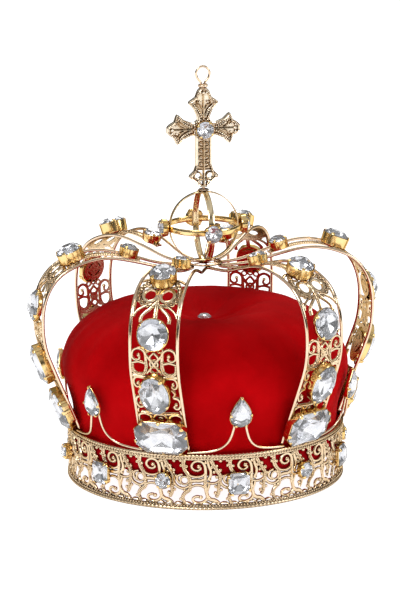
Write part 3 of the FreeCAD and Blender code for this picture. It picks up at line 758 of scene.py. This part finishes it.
def band_repeat(motif, x):
    base = BOTTOM_RIM_HEIGHT
    motif.scroll(shifted(TOP_SPIRAL, x, base), 2.6, 1.4)
    motif.scroll(shifted(BOTTOM_SPIRAL, x, base), 2.5, 1.35)
    for points in (WALL_STEM, LEAFY_STEM):
        motif.curve(shifted(points, x, base), 3.0, 0.25)
        motif.grains(shifted(points, x, base), 1.3, 0.45)
    for width, points in BAND_STROKES:
        motif.curve(shifted(points, x, base), width * 1.15)
    across, up, radius = BAND_RING
    motif.ring(x + across, base + up, radius, 1.4)
    for across, up, radius in BAND_LEAVES:
        motif.bead(x + across, base + up, radius, -0.35)


# Rows of a rope to each strand, and corners round it
ROPE_STEPS, ROPE_SIDES = 5, 10


def build_band_filigree():
    mesher = Mesher()
    motif = Motif(mesher, wrap_band, -BAND_WALL, 0.35)
    for i in range(BAND_REPEATS):
        band_repeat(motif, i * PITCH + BAND_PHASE)
    place("band_scrolls", mesher.mesh("band_scrolls", [GOLD]), "band_filigree", crease=50)


def rope(mesher, radius, height, thickness, strands, lean, depth):
    """Ring whose surface swells in slanted strands."""
    rows, around = strands * ROPE_STEPS, ROPE_SIDES
    a = np.arange(rows)[:, None] * 2 * math.pi / rows
    b = np.arange(around)[None, :] * 2 * math.pi / around
    swell = thickness * (1 - depth + depth * np.abs(np.cos(strands * a / 2 + lean * b)))
    reach = radius + swell * np.cos(b)
    verts = np.stack([reach * np.sin(a), -reach * np.cos(a), height + swell * np.sin(b)], 2).reshape(-1, 3)
    mesher.add(verts, grid_faces(rows, around, closed_rows=True))


def bead_row(mesher, radius, height, bead, count):
    for i in range(count):
        angle = 2 * math.pi * i / count
        ball(mesher, (radius * math.sin(angle), -radius * math.cos(angle), height), bead)


def scallops(mesher, low, high, count, width):
    motif = Motif(mesher, wrap_band, -BAND_WALL, 0.5)
    pitch = 2 * math.pi * BAND_RADIUS / count
    for i in range(count):
        x = i * pitch
        arc = [(x, low), (x + pitch * 0.1, high), (x + pitch * 0.9, high), (x + pitch, low)]
        motif.stroke(spline(arc, 4), width, step=0.7)


def build_rims():
    top = Mesher()
    low = BAND_HEIGHT - TOP_RIM_HEIGHT
    inner = BAND_RADIUS - BAND_WALL - 0.2
    lathe(top, [(inner, low + 0.1), (BAND_RADIUS + 0.25, low + 0.1), (BAND_RADIUS + 0.25, low + 1.4),
                (BAND_RADIUS + 0.4, low + 3.4), (inner, low + 3.6)])
    rope(top, BAND_RADIUS + 0.1, low + 2.75, 1.12, 230, 1.5, 0.34)
    bead_row(top, BAND_RADIUS + 0.45, low + 0.9, 0.62, 280)
    place("top_rim", top.mesh("top_rim", [GOLD]), "band_top_rim", crease=60)
    bottom = Mesher()
    lathe(bottom, [(inner, 0.0), (BAND_RADIUS + 0.2, 0.0), (BAND_RADIUS + 0.2, 3.0),
                   (BAND_RADIUS, 3.4), (inner, 3.4)])
    rope(bottom, BAND_RADIUS + 0.1, 1.15, 1.12, 210, -1.5, 0.36)
    bead_row(bottom, BAND_RADIUS + 0.4, 2.85, 0.62, 280)
    scallops(bottom, 3.0, 5.0, 96, 1.0)
    place("bottom_rim", bottom.mesh("bottom_rim", [GOLD]), "band_bottom_rim", crease=60)


SQUARE_SIZE, SQUARE_CUT = (13.8, 13.8), 2.2
SMALL_SIZE = (10.0, 10.0)
SQUARE_TABS = (0.0625, 0.3125, 0.5625, 0.8125)
SQUARE_GIRDLE = cut_corners(SQUARE_SIZE, SQUARE_CUT)
SMALL_GIRDLE = ellipse_corners(SMALL_SIZE, STONE_SIDES)
# Kind, face (distance from the axis, height), size, girdle, whether it has corners, places and tabs
BAND_STONES = (
    ("square", (95.5, 17.4), SQUARE_SIZE, SQUARE_GIRDLE, True, GAP_ANGLES, SQUARE_TABS),
    ("round", (96.5, 19.6), SMALL_SIZE, SMALL_GIRDLE, False, ARCH_ANGLES, FOUR_TABS),
)


def build_band_stones():
    for kind, face, size, girdle, cornered, angles, tabs in BAND_STONES:
        depth = face[0] - BAND_RADIUS + SEAT_BITE
        cup, jewel = collet(girdle, size, depth, tabs, cornered, 2.2), gem(girdle, size, depth)
        collets, stones = Mesher(), Mesher()
        for angle in angles.values():
            move = seated(*face, 0, angle)
            collets.merged(cup, move)
            stones.merged(jewel, move)
        place_set(collets, kind + "_cups", "band_" + kind + "_collets",
                  stones, kind + "_stones", "band_" + kind + "_stones")


# Fleurons

# Route of a stem: degrees from the fleuron's middle, distance from the axis, height
FLEURON_ROUTE = [(20.5, 90.0, 37.6), (12.0, 90.6, 38.0), (5.5, 92.6, 42.0), (2.6, 95.6, 51.0),
                 (1.4, 96.6, 64.0)]
PEAR_FACE, PEAR_SIZE = (101.9, 65.4), (13.6, 19.6)
PEAR_TILT, PEAR_DEPTH = -8.0, 5.0
PEAR_TABS = (0.0, 0.28, 0.44, 0.56, 0.72)


def build_fleurons():
    wires, collets, stones = Mesher(), Mesher(), Mesher()
    girdle = pear_corners(PEAR_SIZE, STONE_SIDES)
    cup = collet(girdle, PEAR_SIZE, PEAR_DEPTH, PEAR_TABS, False, 1.8)
    jewel = gem(girdle, PEAR_SIZE, PEAR_DEPTH)
    for angle in GAP_ANGLES.values():
        for side in (-1, 1):
            route = [turned(angle + side * along)(np.array((0, -radius, height)))
                     for along, radius, height in FLEURON_ROUTE]
            tube(wires, evenly(spline(route, 12), 1.2), 0.8, 10)
        move = seated(*PEAR_FACE, PEAR_TILT, angle)
        collets.merged(cup, move)
        stones.merged(jewel, move)
    place("fleuron_stems", wires.mesh("fleuron_stems", [GOLD_WIRE]), "fleuron_wires")
    place_set(collets, "fleuron_cups", "fleuron_collets", stones, "fleuron_drops", "fleuron_stones")


# Velvet cap

CAP_ROUTE = [(86.2, 22.0), (86.2, 44.0), (90.2, 58.0), (95.4, 73.0), (91.8, 89.0), (78.8, 103.0),
             (62.0, 111.4), (45.0, 113.4), (29.0, 109.8), (14.0, 103.0), (3.0, 102.0)]
CAP_COLUMNS = 288
# Where the cap's belly, shoulder and drawn middle are, as shares of its route, and how far each reaches
CAP_BELLY, CAP_SHOULDER, CAP_PULL = (0.36, 0.2), (0.52, 0.13), (0.86, 0.13)


def cap_fold(angle, centre, width):
    """One soft ridge across an angle, 1 at its centre."""
    gap = (angle - centre + 180) % 360 - 180
    return np.exp(-(gap / width) ** 2)


def cap_zone(along, zone):
    """1 in the middle of a zone of the route, fading to 0 away from it."""
    middle, reach = zone
    return np.exp(-((along[:, None] - middle) / reach) ** 2)


# Folds of the cap's top: angle, width in degrees, depth
TOP_FOLDS = ((-62, 11, 1.6), (-25, 8, 1.2), (8, 9, 1.7), (52, 12, 1.3), (95, 9, 1.6), (140, 11, 1.2),
             (178, 9, 1.7), (-140, 12, 1.4), (-100, 8, 1.5))


def build_cap():
    """Full soft cap: it swells between the arches and is drawn down in folds to its middle."""
    mesher = Mesher()
    columns = CAP_COLUMNS
    route = evenly(spline(CAP_ROUTE, 16), 1.4)
    along = np.concatenate([[0], np.cumsum(np.linalg.norm(np.diff(route, axis=0), axis=1))])
    along = along / along[-1]
    angles = np.arange(columns) * 360 / columns
    radius = np.repeat(route[:, :1], columns, 1)
    height = np.repeat(route[:, 1:], columns, 1)
    swell = np.cos(np.radians(angles * 6))[None, :]
    radius = radius + cap_zone(along, CAP_BELLY) * (0.9 * swell - 0.6)
    pucker = np.sin(np.radians(angles * 23)) * np.sin(np.radians(angles * 7 + 40))
    shoulder = cap_zone(along, CAP_SHOULDER)
    radius = radius + 0.8 * shoulder * pucker[None, :] - 0.5 * shoulder
    for centre, width, depth in TOP_FOLDS:
        height = height - depth * cap_zone(along, CAP_PULL) * cap_fold(angles, centre, width)[None, :]
    turn = np.radians(angles)[None, :]
    verts = np.stack([radius * np.sin(turn), -radius * np.cos(turn), height], 2).reshape(-1, 3)
    faces = grid_faces(len(route), columns)
    faces.append(tuple((len(route) - 1) * columns + j for j in range(columns)))
    mesher.add(verts, faces)
    cap = place("cap_velvet", mesher.mesh("cap_velvet", [VELVET]), "velvet_cap")


def build_headband():
    mesher = Mesher()
    lathe(mesher, [(87.2, 22.2), (87.6, 21.9), (88.4, 22.1), (88.5, 28.0),
                   (88.5, 34.6), (88.1, 35.2), (87.4, 34.8), (87.2, 28.0)])
    strip = place("cap_strip", mesher.mesh("cap_strip", [HEM_CLOTH]), "cap_headband")


BUTTON_SIZE, BUTTON_DEPTH, BUTTON_FACE_HEIGHT = (9.0, 9.0), 3.4, 106.1


def build_button():
    mesher = Mesher()
    jewel = gem(ellipse_corners(BUTTON_SIZE, STONE_SIDES), BUTTON_SIZE, BUTTON_DEPTH)
    mesher.merged(jewel, lambda verts: verts + (0, 0, BUTTON_FACE_HEIGHT))
    place("tuft_stone", mesher.mesh("tuft_stone", [GLASS, FOIL], smooth=False), "cap_button")


# Orb

def hoop_mesh(name, outer, around, gold):
    """Flat strip bent into a hoop, with eased edges. around is its axis: 0, 1 or 2."""
    mesher = Mesher()
    half, ease = STRIP_WIDTH / 2, 0.15
    inner = outer - STRIP_THICKNESS
    lathe(mesher, [(inner, -half + ease), (inner + ease, -half), (outer - ease, -half),
                   (outer, -half + ease), (outer, half - ease), (outer - ease, half),
                   (inner + ease, half), (inner, half - ease)], 96)
    verts = np.concatenate(mesher.verts)
    order = {2: (0, 1, 2), 0: (2, 1, 0), 1: (0, 2, 1)}[around]
    mesher.verts = [verts[:, order] + (0, 0, ORB_CENTRE)]
    return mesher.mesh(name, [gold])


ORB_STONE_SIZE, ORB_STONE_DEPTH = (11.0, 11.0), 6.0
# Each hoop: its name, how many steps it lies inside the outermost one, its axis and its metal
HOOPS = (("equator", 0, 2, GOLD_CUP), ("front_back", 1, 0, GOLD_STRIP), ("left_right", 2, 1, GOLD_STRIP))


def build_orb():
    for name, steps, around, gold in HOOPS:
        strip = hoop_mesh(name + "_strip", ORB_RADIUS - steps * HOOP_STEP, around, gold)
        place(name + "_strip", strip, "orb_" + name + "_hoop", crease=50)
    size, depth = ORB_STONE_SIZE, ORB_STONE_DEPTH
    girdle = ellipse_corners(size, STONE_SIDES)
    collets, stones = Mesher(), Mesher()
    cup, jewel = collet(girdle, size, depth, FOUR_TABS, False, 2.0), gem(girdle, size, depth)
    for angle in (0, 90, 180, 270):
        move = seated(ORB_RADIUS + depth - SEAT_BITE, ORB_CENTRE, 0, angle)
        collets.merged(cup, move)
        stones.merged(jewel, move)
    place_set(collets, "orb_cups", "orb_collets", stones, "orb_jewels", "orb_stones")
    top = ORB_CENTRE + ORB_RADIUS - HOOP_STEP + 0.05
    washer = Mesher()
    lathe(washer, [(1.05, top), (3.4, top), (3.6, top + 0.25), (3.3, top + 0.7),
                   (2.4, top + 0.8), (1.05, top + 0.8)], 48)
    place("orb_washer", washer.mesh("orb_washer", [GOLD_WIRE]), "orb_top_washer", crease=50)
    base = ORB_CENTRE - ORB_RADIUS + HOOP_STEP
    disc = Mesher()
    lathe(disc, [(9.6, base - 0.9), (11.6, base - 0.9), (12.0, base - 0.5),
                 (11.6, base - 0.05), (9.6, base - 0.05)], 64)
    lathe(disc, [(0.01, base - 0.9), (3.2, base - 0.9), (3.4, base - 0.4), (0.01, base)], 32)
    for angle in (0, 60, 120, 180, 240, 300):
        bar = [turned(angle)(np.array((0.0, -reach, base - 0.5))) for reach in (2.0, 6.0, 10.0)]
        tube(disc, evenly(np.array(bar), 2.0), 0.42, 8)
    place("orb_base", disc.mesh("orb_base", [GOLD_WIRE]), "orb_base_disc", crease=50)


# Cross

def wrap_cross(across, up, lift):
    return np.stack([across, -lift, up + CROSS_CENTRE], 1)


# Half outlines of the cross's arms, top and foot: distance from the arm's middle line, distance along it
ARM_SIDE = [(3.9, 3.9), (3.9, 8.0), (6.2, 13.4), (9.8, 17.2), (5.4, 18.8), (3.8, 21.6), (1.6, 24.0)]
TOP_SIDE = [(3.9, 3.9), (3.9, 8.0), (6.2, 13.4), (9.8, 17.2), (5.4, 20.2), (3.8, 24.4), (1.6, 26.8)]
FOOT_SIDE = [(5.2, 3.0), (5.2, 24.0), (6.6, 28.0), (9.7, 31.0), (5.0, 35.0), (2.0, 38.0)]


def spun(points, quarter_turns):
    for _ in range(quarter_turns % 4):
        points = [(-y, x) for x, y in points]
    return points


def plate(mesher, outline, low, high, wrap):
    """Flat plate with the given outline."""
    points = np.array(outline, float)
    count = len(points)
    verts = [wrap(points[:, 0], points[:, 1], np.full(count, height)) for height in (low, high)]
    faces = [tuple(range(count))[::-1], tuple(range(count, 2 * count))]
    faces += [(k, (k + 1) % count, count + (k + 1) % count, count + k) for k in range(count)]
    mesher.add(np.concatenate(verts), faces)


def inner_outline(side, quarter, factor=0.84):
    shrunk = [(x * factor, y if y < 4 else y * 0.97) for x, y in side]
    return spun(shrunk + [(-x, y) for x, y in reversed(shrunk)], quarter)


def cross_arm(motif, side, quarter):
    """Rim of one arm, its veins and its tip bead. The arm points along +up before it is turned."""
    tip = side[-1][1]
    rim = [(x - 0.7 if x > 2 else x, min(y, tip - 0.7)) for x, y in side]
    motif.stroke(spun(rim + [(-x, y) for x, y in reversed(rim)], quarter), 1.9, step=0.6)
    motif.grains(spun(rim[1:], quarter), 1.1, 0.45)
    motif.grains(spun([(-x, y) for x, y in rim[1:]], quarter), 1.1, 0.45)
    motif.curve(spun([(0.0, 6.0), (0.0, 12.0), (0.0, tip - 1.0)], quarter), 1.2)
    for s in (-1, 1):
        motif.curve(spun([(s * 1.0, 9.0), (s * 2.8, 12.8), (s * 5.8, 16.0)], quarter), 1.3)
        curl = [(s * 0.8, 13.0), (s * 2.4, 15.8), (s * 4.6, 16.6), (s * 4.2, 18.4), (s * 2.6, 17.9)]
        motif.scroll(spun(curl, quarter), 1.1, 0.7)
        motif.grains(spun([(s * 1.4, 8.4), (s * 3.6, 12.4), (s * 6.9, 16.6)], quarter), 1.3, 0.55)
        motif.bead(*spun([(s * 2.2, tip - 3.0)], quarter)[0], 0.8)
    motif.bead(*spun([(0.0, tip - 3.2)], quarter)[0], 1.1)


def cross_shaft(motif):
    rim = [(x - 0.75 if x > 2 else x, min(y, 37.4)) for x, y in FOOT_SIDE]
    motif.stroke(spun(rim + [(-x, y) for x, y in reversed(rim)], 2), 1.8, step=0.6)
    motif.grains(spun(rim[1:4], 2), 1.1, 0.45)
    motif.grains(spun([(-x, y) for x, y in rim[1:4]], 2), 1.1, 0.45)
    motif.curve([(0.0, -6.0), (0.0, -26.0), (0.0, -37.0)], 1.1)
    for s in (-1, 1):
        for y in (-9.5, -14.0, -18.5, -23.0):
            motif.curve([(s * 0.4, y - 2.2), (s * 2.6, y - 1.6), (s * 3.2, y + 0.2),
                         (s * 1.4, y + 1.2), (s * 0.4, y)], 0.9)
            motif.bead(s * 2.0, y - 0.3, 0.55)
        motif.ring(s * 4.0, -30.6, 2.4, 1.1)
        motif.curve([(s * 1.2, -26.6), (s * 4.6, -26.8), (s * 7.6, -29.8)], 1.0)
        motif.curve([(s * 0.6, -33.0), (s * 3.4, -34.0), (s * 2.4, -36.4)], 2.2)
        motif.bead(s * 8.0, -30.9, 0.9)


CROSS_STONE_SIZE, CROSS_STONE_DEPTH = (11.0, 11.0), 6.4
# Ring of beads round the cross's stone
BOSS_RADIUS, BOSS_BEADS = 6.5, 16


def upright(verts):
    """Stands a piece that was turned round +Z on its edge, facing the front, at the cross's middle."""
    return verts[:, (0, 2, 1)] * (1, -1, 1) + (0, 0, CROSS_CENTRE)


def cross_seat(verts):
    """Moves a stone made face up to the front of the cross."""
    face = CROSS_THICKNESS / 2 + CROSS_STONE_DEPTH - SEAT_BITE
    return np.stack([verts[:, 0], -verts[:, 2] - face, verts[:, 1] + CROSS_CENTRE], 1)


def build_cross():
    mesher = Mesher()
    half = CROSS_THICKNESS / 2
    for facing in (1, -1):
        motif = Motif(mesher, lambda x, y, h, f=facing: wrap_cross(x, y, h * f), -0.2, half - 0.1)
        for side, quarter in ((TOP_SIDE, 0), (ARM_SIDE, 1), (ARM_SIDE, 3)):
            cross_arm(motif, side, quarter)
            plate(mesher, inner_outline(side, quarter), -0.1, 0.7, motif.wrap)
        plate(mesher, inner_outline(FOOT_SIDE[:3], 2), -0.1, 0.7, motif.wrap)
        cross_shaft(motif)
        motif.ring(0.0, 0.0, BOSS_RADIUS, 1.8)
        for k in range(BOSS_BEADS):
            turn = k * 2 * math.pi / BOSS_BEADS
            motif.bead(BOSS_RADIUS * math.cos(turn), BOSS_RADIUS * math.sin(turn), 0.75)
    boss = Mesher()
    lathe(boss, [(0.01, -half + 0.4), (6.4, -half + 0.6), (7.1, -0.8),
                 (7.1, 0.8), (6.4, half - 0.6), (0.01, half - 0.4)], 48)
    mesher.merged(boss, upright)
    place("cross_cast", mesher.mesh("cross_cast", [GOLD_CROSS]), "cross_body", "cross",
          crease=50)
    size, depth = CROSS_STONE_SIZE, CROSS_STONE_DEPTH
    girdle = ellipse_corners(size, STONE_SIDES)
    cup, jewel = Mesher(), Mesher()
    cup.merged(collet(girdle, size, depth, FOUR_TABS, False, 2.0), cross_seat)
    jewel.merged(gem(girdle, size, depth), cross_seat)
    place_set(cup, "cross_cup", "cross_collet", jewel, "cross_jewel", "cross_stone", "cross")


LOOP_HALF = [(0.9, 0.6), (1.0, 3.4), (4.2, 6.4), (4.6, 11.4)]
COLLAR_FOOT = CROSS_CENTRE + 26.8
LOOP_RISE = 14.6
KNOT_RADIUS, KNOT_RISE = 2.5, 1.1


def build_eye():
    loop = Mesher()
    left = [(-x, 0.0, z + COLLAR_FOOT) for x, z in LOOP_HALF]
    right = [(-x, 0.0, z) for x, _, z in reversed(left)]
    tube(loop, evenly(spline(left + [(0.0, 0.0, COLLAR_FOOT + LOOP_RISE)] + right, 10), 0.7), 0.8, 12)
    place("eye_wire", loop.mesh("eye_wire", [GOLD_WIRE]), "cross_eye_loop", "cross")
    knot = Mesher()
    turns = np.linspace(0, 4.4 * math.pi, 60)
    wrap = np.stack([KNOT_RADIUS * np.cos(turns), KNOT_RADIUS * np.sin(turns),
                     COLLAR_FOOT + 0.75 + turns / turns[-1] * KNOT_RISE], 1)
    tube(knot, wrap, 0.72, 10)
    place("eye_knot", knot.mesh("eye_knot", [GOLD_WIRE]), "cross_collar", "cross")


# Studio, in metres

# The floor gives off light, because the photograph's background is plain white
FLOOR_REACH, FLOOR_GAP, FLOOR_GLOW = 12.0, 0.0003, 0.96
# Belts of the room: place on the ramp, and grey
ROOM_BELTS = ((0.0, 0.04), (0.25, 0.06), (0.4, 0.6), (0.6, 0.1), (0.8, 0.7), (1.0, 0.5))
LIGHT_TARGET = (0, 0, 0.12)
# Each light: name, place, width and power
LIGHTS = (("key", (-1.1, -1.3, 1.5), 0.9, 20.0), ("fill", (1.5, -1.0, 0.9), 0.8, 9.0),
          ("back", (0.4, 1.6, 1.4), 0.9, 12.0))


def build_stage():
    mesh = bpy.data.meshes.new("floor")
    reach = FLOOR_REACH
    corners = [(-reach, -reach, 0), (reach, -reach, 0), (reach, reach, 0), (-reach, reach, 0)]
    mesh.from_pydata(corners, [], [(0, 1, 2, 3)])
    material, tree, shader = new_material("floor_paper")
    tone = ramp(tree, noise(tree, 3.0), [(0.3, (0.50, 0.50, 0.50)), (0.7, (0.54, 0.54, 0.54))])
    tree.links.new(tone, shader.inputs["Base Color"])
    shader.inputs["Roughness"].default_value = 0.9
    shader.inputs["Specular IOR Level"].default_value = 0.1
    shader.inputs["Emission Color"].default_value = (1.0, 1.0, 1.0, 1.0)
    shader.inputs["Emission Strength"].default_value = FLOOR_GLOW
    mesh.materials.append(material)
    floor = bpy.data.objects.new("floor", mesh)
    floor.location = (0, 0, -FLOOR_GAP)
    bpy.context.scene.collection.objects.link(floor)


def build_world():
    """Soft white room with a darker belt, so that metal and stones have something to mirror."""
    world = bpy.data.worlds.new("studio")
    bpy.context.scene.world = world
    world.use_nodes = True
    tree = world.node_tree
    where = tree.nodes.new("ShaderNodeTexCoord")
    split = tree.nodes.new("ShaderNodeSeparateXYZ")
    tree.links.new(where.outputs["Generated"], split.inputs["Vector"])
    belts = ramp(tree, split.outputs["Z"], [(share, (grey, grey, grey)) for share, grey in ROOM_BELTS])
    background = tree.nodes["Background"]
    tree.links.new(belts, background.inputs["Color"])
    background.inputs["Strength"].default_value = 1.0


def add_light(name, place_at, size, power):
    data = bpy.data.lights.new(name, "AREA")
    data.shape, data.size, data.energy = "DISK", size, power
    lamp = bpy.data.objects.new(name, data)
    bpy.context.scene.collection.objects.link(lamp)
    lamp.location = place_at
    aim(lamp, LIGHT_TARGET)


def aim(thing, target):
    way = Vector(target) - thing.location
    thing.rotation_euler = way.to_track_quat("-Z", "Y").to_euler()


CAMERA_AZIMUTH, CAMERA_ELEVATION, CAMERA_DISTANCE = -13.19, 13.58, 2.0
CAMERA_TARGET = (-0.0028, 0.0005, 0.1104)
CAMERA_LENS, CAMERA_ROLL = 179.1, -0.4


def build_camera():
    data = bpy.data.cameras.new("camera")
    data.sensor_width, data.sensor_fit, data.lens = 36.0, "AUTO", CAMERA_LENS
    data.clip_end = 100.0
    camera = bpy.data.objects.new("camera", data)
    bpy.context.scene.collection.objects.link(camera)
    a, e = math.radians(CAMERA_AZIMUTH), math.radians(CAMERA_ELEVATION)
    way = Vector((math.sin(a) * math.cos(e), -math.cos(a) * math.cos(e), math.sin(e)))
    camera.location = Vector(CAMERA_TARGET) + way * CAMERA_DISTANCE
    turn = (-way).to_track_quat("-Z", "Y").to_matrix() @ Matrix.Rotation(math.radians(CAMERA_ROLL), 3, "Z")
    camera.rotation_euler = turn.to_euler()
    bpy.context.scene.camera = camera


build_arch_wires()
build_arches()
build_band_filigree()
build_rims()
build_band_stones()
build_fleurons()
build_cap()
build_headband()
build_button()
build_orb()
build_cross()
build_eye()
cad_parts["cross_pin"].data.materials.clear()
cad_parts["cross_pin"].data.materials.append(GOLD_WIRE)
build_stage()
build_world()
for light in LIGHTS:
    add_light(*light)
build_camera()
bpy.context.scene.view_settings.view_transform = "Standard"
